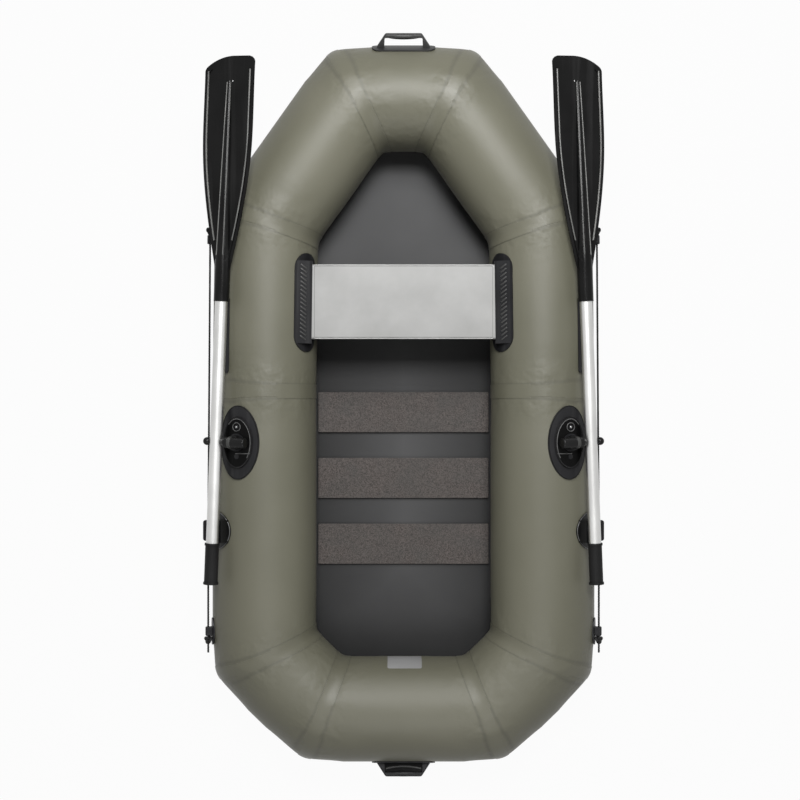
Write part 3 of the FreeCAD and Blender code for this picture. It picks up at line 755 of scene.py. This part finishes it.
def finishNodes():
    for name, obj in nodes.items():
        for start, finish in nodeFinish.items():
            if name.startswith(start):
                obj.data.materials.clear()
                obj.data.materials.append(finishes[finish])


finishNodes()
print("finishes done")


def nodeCopy(name):
    # a merged copy of a CAD node's mesh
    copy = copyPiece(nodes[name])
    weld(copy, 0.00001)
    bpy.ops.mesh.customdata_custom_splitnormals_clear()
    return copy


# floor slats with eased edges
slatNodes = sorted(name for name in nodes if name.startswith("floor_slat"))
for index, name in enumerate(slatNodes, start=1):
    board = nodeCopy(name)
    ease = board.modifiers.new("ease", "BEVEL")
    ease.width = slat["edgeRound"]
    ease.segments = slat["edgeSteps"]
    applyModifiers(board)
    dress(board, f"slatBoard_{index}", finishes["slatWood"], stands=[name])
print("slats done")

# lifelines
rope = {
    "lean": 74.0,
    "standoff": 0.0138,
    "foreEye": 0.0454,  # behind the shoulder
    "aftEye": 0.067,  # ahead of the stern quarter
    "knotOffset": 0.0235,
    "tail": 0.038,
    "foreTail": 0.024,
    "strandRadius": 0.00165,
    "strandOffset": 0.00135,
    "strands": 3,
    "pitch": 0.021,
    "step": 0.0026,
    "knotRadius": 0.0034,
    "knotScale": 0.0031,
    "knotDepth": 1.35,
    "knotSteps": 72,
}


def ropePoint(station):
    return sideFrame(station, rope["lean"]) @ Vector((0, 0, tubeRadius + rope["standoff"]))


def ropeRoute():
    fore = ropePoint(corners[1].y - hull["originShift"] - rope["foreEye"])
    middle = ropePoint(hull["restStation"])
    aft = ropePoint(corners[3].y - hull["originShift"] + rope["aftEye"])
    foreKnot = fore + (fore - middle).normalized() * rope["knotOffset"]
    aftKnot = aft + (aft - middle).normalized() * rope["knotOffset"]
    foreEnd = foreKnot + Vector((0, rope["foreTail"], 0))
    tailEnd = aftKnot + Vector((0, -rope["tail"], 0))
    return [foreEnd, foreKnot, middle, aftKnot, tailEnd], (foreKnot, aftKnot)


def tubeFrom(pointLists, radius, closed=False):
    # round tubes along lists of points
    curve = bpy.data.curves.new("tube", "CURVE")
    curve.dimensions = "3D"
    curve.bevel_depth = radius
    curve.bevel_resolution = shaping["tubeResolution"]
    curve.use_fill_caps = True
    for points in pointLists:
        spline = curve.splines.new("POLY")
        spline.points.add(len(points) - 1)
        for item, point in zip(spline.points, points):
            item.co = (*point, 1)
        spline.use_cyclic_u = closed
        spline.use_smooth = True
    activate(newObject("tube", curve))
    bpy.ops.object.convert(target="MESH")
    return bpy.context.object


def strandPoints(route, phase):
    points = []
    travelled = 0.0
    for start, end in zip(route[:-1], route[1:]):
        run = end - start
        steps = max(1, round(run.length / rope["step"]))
        for index in range(steps):
            share = index / steps
            turn = phase + 2 * math.pi * (travelled + run.length * share) / rope["pitch"]
            offset = Vector((math.cos(turn), 0, math.sin(turn))) * rope["strandOffset"]
            points.append(start + run * share + offset)
        travelled += run.length
    return points


def knotPoints(centre):
    # one strand knotted over itself three times
    points = []
    for index in range(rope["knotSteps"]):
        turn = 2 * math.pi * index / rope["knotSteps"]
        across = math.sin(turn) + 2 * math.sin(2 * turn)
        rise = math.cos(turn) - 2 * math.cos(2 * turn)
        depth = -rope["knotDepth"] * math.sin(3 * turn)
        points.append(centre + Vector((across, rise, depth)) * rope["knotScale"])
    return points


def lifelinePiece():
    route, knots = ropeRoute()
    phases = [2 * math.pi * index / rope["strands"] for index in range(rope["strands"])]
    strands = tubeFrom([strandPoints(route, phase) for phase in phases], rope["strandRadius"])
    knotted = tubeFrom([knotPoints(centre) for centre in knots], rope["knotRadius"], closed=True)
    return joinPieces([strands, knotted])


dressPair(lifelinePiece(), "lifelineRope", finishes["rope"], angle=50,
          node="lifeline")
print("lifelines done")

# blank plate on the stern tube
plate = {
    "width": 0.095,
    "fromAngle": 60.0,
    "toAngle": 93.0,
    "centreX": 0.003,
    "thickness": 0.0006,
    "cornerRound": 0.006,
    "cornerSteps": 5,
    "lift": 0.0003,
    "slices": 14,
}


def blankPlate():
    arc = math.radians(plate["toAngle"] - plate["fromAngle"]) * tubeRadius
    clearSelection()
    bpy.ops.mesh.primitive_plane_add(size=1, location=(0, 0, 0))
    sticker = bpy.context.object
    sticker.scale = (plate["width"], arc, 1)
    applyPlace(sticker)
    editAll(sticker)
    bpy.ops.mesh.bevel(offset=plate["cornerRound"], segments=plate["cornerSteps"],
                       affect="VERTICES")
    for step in range(1, plate["slices"]):
        y = arc * (step / plate["slices"] - 0.5)
        bpy.ops.mesh.select_all(action="SELECT")
        bpy.ops.mesh.bisect(plane_co=(0, y, 0), plane_no=(0, 1, 0))
    leaveEdit()
    reach = tubeRadius + plate["lift"]
    middle = math.radians(plate["fromAngle"] + plate["toAngle"]) / 2
    for vertex in sticker.data.vertices:
        lean = middle - vertex.co.y / tubeRadius
        vertex.co = Vector((vertex.co.x + plate["centreX"],
                            corners[4].y + reach * math.sin(lean),
                            tubeRadius + reach * math.cos(lean)))
    thicken(sticker, plate["thickness"])
    return sticker


plateMaterial = plainMoulded("plateVinyl", (0.205, 0.205, 0.205), (0.26, 0.26, 0.26), (0.35, 0.45))
dress(blankPlate(), "blankPlate", plateMaterial)
print("plate done")

# rims and glossy inlays of the rowlock bases
rowlock = {
    "crown": (0.044, 0.069),
    "crownHeight": 0.009,
    "rimRadius": 0.0014,
    "inlayEdge": 0.003,
    "inlayHeight": 0.0004,
    "flangeRim": (0.0575, 0.099),
    "flangeRimHeight": 0.0043,
    "flangeRimRadius": 0.0011,
    "lip": (0.0395, 0.0640),
    "lipTurns": (50, 222),
    "lipHeight": 0.0098,
    "lipRadius": 0.0012,
    "buttonStation": 0.042,
    "buttonRing": 0.0115,
    "buttonHeight": 0.0104,
    "barStation": -0.030,
    "barReach": (-0.0385, 0.004),
    "barSteps": 12,
    "toeIn": 2.5,
    "barrelHeight": 0.030,
    "bandReach": (0.002, 0.012),
    "bandRadius": 0.0161,
    "bandRound": 0.0012,
    "bandSpokes": 48,
    "restPad": (0.0553, 0.0508),
    "restRimHeight": 0.0036,
    "inlayGrid": (28, 40),
}
rowlockPlace = sideFrame(hull["rowlockStation"], hull["rowlockLean"])
swivelPlace = rowlockPlace @ Matrix.Rotation(math.radians(rowlock["toeIn"]), 4, "Z")
restPadPlace = sideFrame(hull["restStation"], hull["restPadLean"])


def onCurve(x, height):
    # how high a place x out from the tube's crown lies, at a height over the skin
    return math.sqrt((tubeRadius + height) ** 2 - x * x)


def ovalRing(halfWidth, halfLength, height, fromTurn=0, toTurn=360, station=0.0, steps=96):
    # points round an oval that lies on the tube's curve, all the way or part of it
    points = []
    for index in range(steps):
        turn = math.radians(fromTurn + (toTurn - fromTurn) * index / steps)
        x, y = halfWidth * math.cos(turn), station + halfLength * math.sin(turn)
        points.append(Vector((x, y, onCurve(x, height))))
    return points


def ovalInlay(halfWidth, halfLength, height, thickness):
    # a thin oval sheet that follows the tube's curve
    clearSelection()
    cutsAcross, cutsAlong = rowlock["inlayGrid"]
    bpy.ops.mesh.primitive_grid_add(x_subdivisions=cutsAcross, y_subdivisions=cutsAlong, size=2)
    sheet = bpy.context.object
    for vertex in sheet.data.vertices:
        u, v = vertex.co.x, vertex.co.y
        x = halfWidth * u * math.sqrt(1 - v * v / 2)
        y = halfLength * v * math.sqrt(1 - u * u / 2)
        vertex.co = (x, y, onCurve(x, height))
    thicken(sheet, thickness)
    return sheet


def rowlockTrim():
    rim = tubeFrom([ovalRing(*rowlock["crown"], rowlock["crownHeight"])],
                   rowlock["rimRadius"], closed=True)
    flange = tubeFrom([ovalRing(*rowlock["flangeRim"], rowlock["flangeRimHeight"])],
                      rowlock["flangeRimRadius"], closed=True)
    return placeInFrame(joinPieces([rim, flange]), rowlockPlace)


def rowlockInlay():
    halves = [half - rowlock["inlayEdge"] for half in rowlock["crown"]]
    inlay = ovalInlay(*halves, rowlock["crownHeight"], rowlock["inlayHeight"])
    return placeInFrame(inlay, rowlockPlace)


trim, inlay = rowlockTrim(), rowlockInlay()
dressPair(trim, "rowlockTrim", finishes["blackPlastic"])
dressPair(inlay, "rowlockInlay", finishes["deepBlack"])


def paintedHighlightRims():
    # the edges painted lighter as highlights, where the light catches them: the lit arc of the lip,
    # button ring and bar on the base, rim of the rest's pad
    lip = ovalRing(*rowlock["lip"], rowlock["lipHeight"], *rowlock["lipTurns"])
    button = ovalRing(rowlock["buttonRing"], rowlock["buttonRing"], rowlock["buttonHeight"],
                      station=rowlock["buttonStation"])
    start, end = rowlock["barReach"]
    bar = []
    for index in range(rowlock["barSteps"] + 1):
        x = start + (end - start) * index / rowlock["barSteps"]
        bar.append(Vector((x, rowlock["barStation"], onCurve(x, rowlock["lipHeight"]))))
    lines = tubeFrom([lip, bar], rowlock["lipRadius"])
    ring = tubeFrom([button], rowlock["lipRadius"], closed=True)
    restRing = ovalRing(*rowlock["restPad"], rowlock["restRimHeight"])
    onRest = tubeFrom([restRing], rowlock["lipRadius"], closed=True)
    return joinPieces([placeInFrame(joinPieces([lines, ring]), rowlockPlace),
                       placeInFrame(onRest, restPadPlace)])


def barrelBand():
    # a band round the barrel of the swivel, in a lighter finish as a painted highlight
    start, end = rowlock["bandReach"]
    band = roundedDisc(rowlock["bandSpokes"], rowlock["bandRadius"], end - start,
                       rowlock["bandRound"], True)
    middle = ((start + end) / 2, 0, tubeRadius + rowlock["barrelHeight"])
    along = Matrix.Translation(middle) @ Matrix.Rotation(math.radians(90), 4, "Y")
    return placeInFrame(band, swivelPlace @ along)


# painted highlights on the rowlock rims and the swivel's barrel
dressPair(paintedHighlightRims(), "paintedHighlightRims", finishes["paintedHighlightEdge"])
dressPair(barrelBand(), "barrelBand", finishes["paintedLightShadeGrey"], onOar=True)
print("rowlock trim done")

# beads along the ribs and the spine of the blades, in a lighter plastic as painted highlights
blade = {
    "offset": 0.052,  # from the swivel's axis to the shaft's
    "neck": 0.469,
    "widest": 0.8472,
    "neckHalf": 0.023,
    "halfWidth": 0.0765,
    "inset": 0.0118,
    "ribFrom": 0.545,
    "ribTo": 1.004,
    "ribHeight": 0.0034,
    "ribRadius": 0.0025,
    "ribSteps": 40,
    "spine": ((0.0052, 0.972, 0.0030), (0.0070, 0.850, 0.0068), (0.0084, 0.721, 0.0110),
              (0.0092, 0.600, 0.0152), (0.0095, 0.505, 0.0192)),
    "crestRadius": 0.0017,
    "fineRadius": 0.0010,
}
oarLift = (blade["offset"], 0, tubeRadius + rowlock["barrelHeight"])
oarPlace = swivelPlace @ Matrix.Translation(oarLift)


def ribPoints(side, face):
    points = []
    for index in range(blade["ribSteps"] + 1):
        y = blade["ribFrom"] + (blade["ribTo"] - blade["ribFrom"]) * index / blade["ribSteps"]
        share = min(1.0, (y - blade["neck"]) / (blade["widest"] - blade["neck"]))
        widening = (blade["halfWidth"] - blade["neckHalf"]) * math.sin(share * math.pi / 2)
        half = blade["neckHalf"] + widening
        points.append(Vector((side * (half - blade["inset"]), y, face * blade["ribHeight"])))
    return points


def bladeHighlightBeads():
    sides = [(side, face) for side in (-1, 1) for face in (-1, 1)]
    pieces = [tubeFrom([ribPoints(side, face) for side, face in sides], blade["ribRadius"])]
    for side, radius in ((1, blade["crestRadius"]), (-1, blade["fineRadius"])):
        lines = [[Vector((side * x, y, face * z)) for x, y, z in blade["spine"]]
                 for face in (-1, 1)]
        pieces.append(tubeFrom(lines, radius))
    return placeInFrame(joinPieces(pieces), oarPlace)


dressPair(bladeHighlightBeads(), "bladeHighlightBeads", finishes["paintedHighlightPlastic"], onOar=True)
print("blade beads done")

# oar rests: a narrow block under the shaft, a cheek outboard of it and an oval pad
rest = {
    "lean": 44.0,
    "inboardWall": -0.018,
    "cheekLength": 0.058,
    "cheekInner": (0.0195, 0.1440, 0.1680),  # how far out, foot and top
    "cheekOuter": (0.0540, 0.1375, 0.1795),
    "cheekRound": 0.0065,
    "padHalf": (0.0560, 0.0515),
    "padLift": 0.0003,
    "padThickness": 0.0032,
}


def oarRest():
    place = sideFrame(hull["restStation"], rest["lean"])
    block = nodeCopy("oar_rest_starboard")
    cutAway(block, (rest["inboardWall"], 0, tubeRadius), (-1, 0, 0), place)
    cheek = addCube()
    for vertex in cheek.data.vertices:
        x, foot, top = rest["cheekOuter"] if vertex.co.x > 0 else rest["cheekInner"]
        vertex.co = Vector((x, vertex.co.y * rest["cheekLength"], top if vertex.co.z > 0 else foot))
    roundEdges(cheek, rest["cheekRound"])
    pad = ovalInlay(*rest["padHalf"], rest["padLift"], rest["padThickness"])
    return joinPieces([block, placeInFrame(cheek, place), placeInFrame(pad, restPadPlace)])


dressPair(oarRest(), "oarRest", finishes["blackPlastic"], angle=30,
          node="oar_rest")
print("oar rests done")

# carry handles: a bent grip on the pad, and at the stern a near-black sheet across its opening as
# painted shade, for the shade seen through it
handle = {
    "bowLean": 62,
    "sternLean": 80,
    "outerFoot": (0.0770, 0.1450),  # half width and height over the tube's axis
    "outerTop": (0.0500, 0.1855),
    "innerFoot": (0.0540, 0.1300),
    "innerTop": (0.0520, 0.1745),
    "depth": 0.0165,
    "edgeRound": 0.0045,
    "innerRound": 0.0035,
    "bar": (0.0510, 0.0098, 0.0085),
    "barHeight": 0.1775,
    "barSpokes": 48,
    "padCut": 0.0034,
    "shadeSheetFoot": (0.058, 0.1435),
    "shadeSheetTop": (0.054, 0.1770),
    "shadeSheetThickness": 0.004,
    "bandHalf": 0.0490,
    "bandHeight": 0.1640,
    "bandDip": 0.0060,
    "bandRadius": 0.0026,
    "bandSteps": 24,
}


def handlePlace(end, lean):
    # Z out of the tube at the lean angle, X across the hull; end is 1 at the bow, -1 at the stern
    middle = Matrix.Translation((0, end * endY + hull["originShift"], tubeRadius))
    return middle @ Matrix.Rotation(math.radians(-end * lean), 4, "X")


def taperedBlock(foot, top, depth, edgeRound):
    block = addCube()
    for vertex in block.data.vertices:
        half, height = top if vertex.co.z > 0 else foot
        vertex.co = Vector((math.copysign(half, vertex.co.x), vertex.co.y * depth, height))
    roundEdges(block, edgeRound)
    return block


def carryHandle(node, end, lean):
    place = handlePlace(end, lean)
    pad = nodeCopy(node)
    cutAway(pad, (0, 0, tubeRadius + handle["padCut"]), (0, 0, 1), place)
    body = taperedBlock(handle["outerFoot"], handle["outerTop"], handle["depth"],
                        handle["edgeRound"])
    cutter = taperedBlock(handle["innerFoot"], handle["innerTop"], 3 * handle["depth"],
                          handle["innerRound"])
    subtract(body, cutter)
    clearSelection()
    bpy.ops.mesh.primitive_uv_sphere_add(segments=handle["barSpokes"],
                                         ring_count=handle["barSpokes"] // 2, radius=1)
    bar = bpy.context.object
    bar.data.transform(Matrix.Translation((0, 0, handle["barHeight"]))
                       @ Matrix.Diagonal((*handle["bar"], 1)))
    return joinPieces([pad, placeInFrame(body, place), placeInFrame(bar, place)])


def sternHighlightBand():
    # a curved band along the shade sheet's upper side, in a lighter finish as a painted highlight
    points = []
    for index in range(handle["bandSteps"] + 1):
        share = 2 * index / handle["bandSteps"] - 1
        z = handle["bandHeight"] - handle["bandDip"] * (1 - share * share)
        points.append(Vector((share * handle["bandHalf"], handle["shadeSheetThickness"] / 2, z)))
    return tubeFrom([points], handle["bandRadius"])


for end, lean, side, finish in ((1, handle["bowLean"], "bow", "handleRubber"),
                                (-1, handle["sternLean"], "stern", "blackFitting")):
    dress(carryHandle("handle_" + side, end, lean), "carryHandle_" + side, finishes[finish],
          angle=35, stands=["handle_" + side])
# painted shade: a near-black sheet across the stern handle's opening
shadeSheet = taperedBlock(handle["shadeSheetFoot"], handle["shadeSheetTop"], handle["shadeSheetThickness"],
                   handle["shadeSheetThickness"] / 4)
for piece, name, finish in ((shadeSheet, "sternShadeSheet", "deepBlack"),
                            (sternHighlightBand(), "sternHighlightBand", "paintedLightShadeGrey")):
    placeInFrame(piece, handlePlace(-1, handle["sternLean"]))
    dress(piece, name, finishes[finish], angle=35)
print("handles done")

# lips and creases of the seat plank: the lips in a lighter metal as painted highlights of the rolled
# edges, the creases in a dark grey as painted shade in the folds
plank = {
    "lipRadius": 0.0011,
    "creaseRadius": 0.0005,
    "creaseInset": 0.0055,
    "endInset": 0.0135,
    "sink": 0.0003,
}


def plankLines():
    low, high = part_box("seat_plank")
    top = high.z - plank["sink"]
    endX = high.x - plank["endInset"]
    creaseY = low.y + plank["creaseInset"], high.y - plank["creaseInset"]
    lipY = low.y + 2 * plank["lipRadius"], high.y - 2 * plank["lipRadius"]
    lips, creases = ([[Vector((-endX, y, top)), Vector((endX, y, top))] for y in places]
                     for places in (lipY, creaseY))
    creases += [[Vector((x, y, top)) for y in creaseY] for x in (-endX, endX)]
    return tubeFrom(lips, plank["lipRadius"]), tubeFrom(creases, plank["creaseRadius"])


plankHighlightLips, plankShadeCreases = plankLines()
dress(plankHighlightLips, "plankHighlightLips", finishes["paintedHighlightMetal"])
dress(plankShadeCreases, "plankShadeCreases", finishes["paintedLightShadeGrey"])
print("plank lines done")

# oar blades with the corners of their tips rounded
bladeTip = {
    "radius": 0.018,
    "outer": ((0.0585, 1.0010), (13, 27, 40)),  # centre of the round, angles of the cuts
    "inner": ((-0.0585, 1.0220), (158, 135, 112)),
}


def roundedBlade():
    copy = nodeCopy("oar_blade_starboard")
    for centre, angles in (bladeTip["outer"], bladeTip["inner"]):
        for angle in angles:
            out = Vector((math.cos(math.radians(angle)), math.sin(math.radians(angle)), 0))
            point = Vector((*centre, 0)) + out * bladeTip["radius"]
            cutAway(copy, point, out, oarPlace)
    return copy


dressPair(roundedBlade(), "oarBlade", finishes["bladePlastic"], angle=12, onOar=True,
          node="oar_blade")
print("blades done")

# raised slanting bars on the seat rails, in a lighter grey as painted highlights
tread = {
    "station": 0.281,
    "low": (-0.1298, 0.1015),
    "high": (-0.0955, 0.1135),
    "bar": (0.020, 0.0036, 0.0022),
    "pitch": 0.0115,
    "turn": 35.0,
    "barRound": 0.0007,
    "railLength": 0.226,
    "railMargin": 0.03,
}


def railTread():
    low, high = (Vector((x, 0, z)) for x, z in (tread["low"], tread["high"]))
    slope = math.atan2(high.z - low.z, high.x - low.x)
    count = int((tread["railLength"] - tread["railMargin"]) / tread["pitch"])
    bar = addCube()
    bar.scale = tread["bar"]
    applyPlace(bar)
    roundEdges(bar, tread["barRound"], 2)
    lean = Matrix.Rotation(-slope, 4, "Y") @ Matrix.Rotation(math.radians(tread["turn"]), 4, "Z")
    bars = []
    for index in range(count + 1):
        centre = (low + high) / 2 + Vector((0, (index - count / 2) * tread["pitch"], 0))
        place = sideFrame(tread["station"]) @ Matrix.Translation(centre) @ lean
        bars.append(placeInFrame(copyPiece(bar), place))
    bpy.data.objects.remove(bar)
    return joinPieces(bars)


dressPair(railTread(), "railTread", finishes["paintedLightShadeGrey"], angle=30)
print("rail treads done")

# screw heads of the rowlock buttons
screw = {
    "height": 0.0095,
    "radius": 0.0031,
    "headHeight": 0.0022,
    "headRound": 0.0009,
    "slotWidth": 0.0011,
    "spokes": 32,
}


def screwHead():
    head = roundedDisc(screw["spokes"], screw["radius"], screw["headHeight"],
                       screw["headRound"], False)
    placeInFrame(head, Matrix.Translation((0, 0, screw["headHeight"] / 2)))
    cutter = addCube((0, 0, screw["headHeight"]))
    cutter.scale = (3 * screw["radius"], screw["slotWidth"], screw["slotWidth"])
    applyPlace(cutter)
    subtract(head, cutter)
    lift = Matrix.Translation((0, rowlock["buttonStation"], tubeRadius + screw["height"]))
    return placeInFrame(head, rowlockPlace @ lift)


screwSteel = plainMoulded("screwSteel", (0.34, 0.34, 0.34), (0.42, 0.42, 0.42), (0.22, 0.32),
                          metallic=1.0, grainDepth=0.00002)
dressPair(screwHead(), "buttonScrew", screwSteel, angle=30)
print("screws done")

# studio
studio = {
    "cameraPlace": (-0.0098, 0.0196, 4.145),
    "lens": 64.07,
    "sensorWidth": 36,
    "clipEnd": 50,
    "floorSize": 14,
    "floorDrop": 0.0006,
    "floorWhiteness": 0.96,
    "lamps": {  # place, size, power, aim
        "keyLamp": ((0.2, 1.75, 4.5), (1.5, 1.1), 180, (0.0, -0.2, 0.0)),
        "bowLamp": ((0.1, 1.35, 1.75), (1.0, 0.6), 23, (0.0, 0.0, 0.2)),
        "sternLamp": ((0.1, -1.4, 1.75), (1.0, 0.6), 9, (0.0, -0.2, 0.2)),
    },
    "fillStrength": 0.08,
    "floorColour": (0.3, 0.3, 0.3, 1),
    "floorRoughness": 0.9,
}


def addLamp(name, place, size, power, aim):
    lamp = newObject(name, bpy.data.lights.new(name, "AREA"))
    lamp.location = place
    lamp.data.shape = "RECTANGLE"
    lamp.data.size, lamp.data.size_y = size
    lamp.data.energy = power
    lamp.rotation_euler = (Vector(aim) - lamp.location).to_track_quat("-Z", "Y").to_euler()


def buildStudio():
    camera = newObject("camera", bpy.data.cameras.new("camera"))
    camera.location = studio["cameraPlace"]
    camera.data.lens = studio["lens"]
    camera.data.sensor_width = studio["sensorWidth"]
    camera.data.clip_end = studio["clipEnd"]
    bpy.context.scene.camera = camera
    for name, lamp in studio["lamps"].items():
        addLamp(name, *lamp)


def whiteForCamera(tree, shaderSocket, outputSocket, share):
    # what the camera and reflections see is white, and what lights the object isn't changed
    path = tree.nodes.new("ShaderNodeLightPath")
    seen = mathNode(tree, "MAXIMUM", path.outputs["Is Camera Ray"], path.outputs["Is Glossy Ray"])
    seen = mathNode(tree, "MAXIMUM", seen, path.outputs["Is Transmission Ray"])
    glow = tree.nodes.new("ShaderNodeEmission" if share < 1 else "ShaderNodeBackground")
    glow.inputs["Color"].default_value = (1, 1, 1, 1)
    glow.inputs["Strength"].default_value = 1
    mix = tree.nodes.new("ShaderNodeMixShader")
    tree.links.new(mathNode(tree, "MULTIPLY", seen, share), mix.inputs[0])
    tree.links.new(shaderSocket, mix.inputs[1])
    tree.links.new(glow.outputs[0], mix.inputs[2])
    tree.links.new(mix.outputs[0], outputSocket)


def buildStage():
    clearSelection()
    bpy.ops.mesh.primitive_plane_add(size=studio["floorSize"],
                                     location=(0, 0, -studio["floorDrop"]))
    ground = bpy.context.object
    ground.name = "studioFloor"
    material, tree, shader = newMaterial("studioFloor")
    shader.inputs["Base Color"].default_value = studio["floorColour"]
    shader.inputs["Roughness"].default_value = studio["floorRoughness"]
    whiteForCamera(tree, shader.outputs[0], tree.nodes["Material Output"].inputs["Surface"],
                   studio["floorWhiteness"])
    ground.data.materials.append(material)
    world = bpy.data.worlds.new("studio")
    bpy.context.scene.world = world
    world.use_nodes = True
    sky = world.node_tree.nodes["Background"]
    sky.inputs["Color"].default_value = (1, 1, 1, 1)
    sky.inputs["Strength"].default_value = studio["fillStrength"]
    whiteForCamera(world.node_tree, sky.outputs[0],
                   world.node_tree.nodes["World Output"].inputs["Surface"], 1)


buildStudio()
buildStage()
bpy.context.scene.view_settings.view_transform = "Standard"
print("studio done")
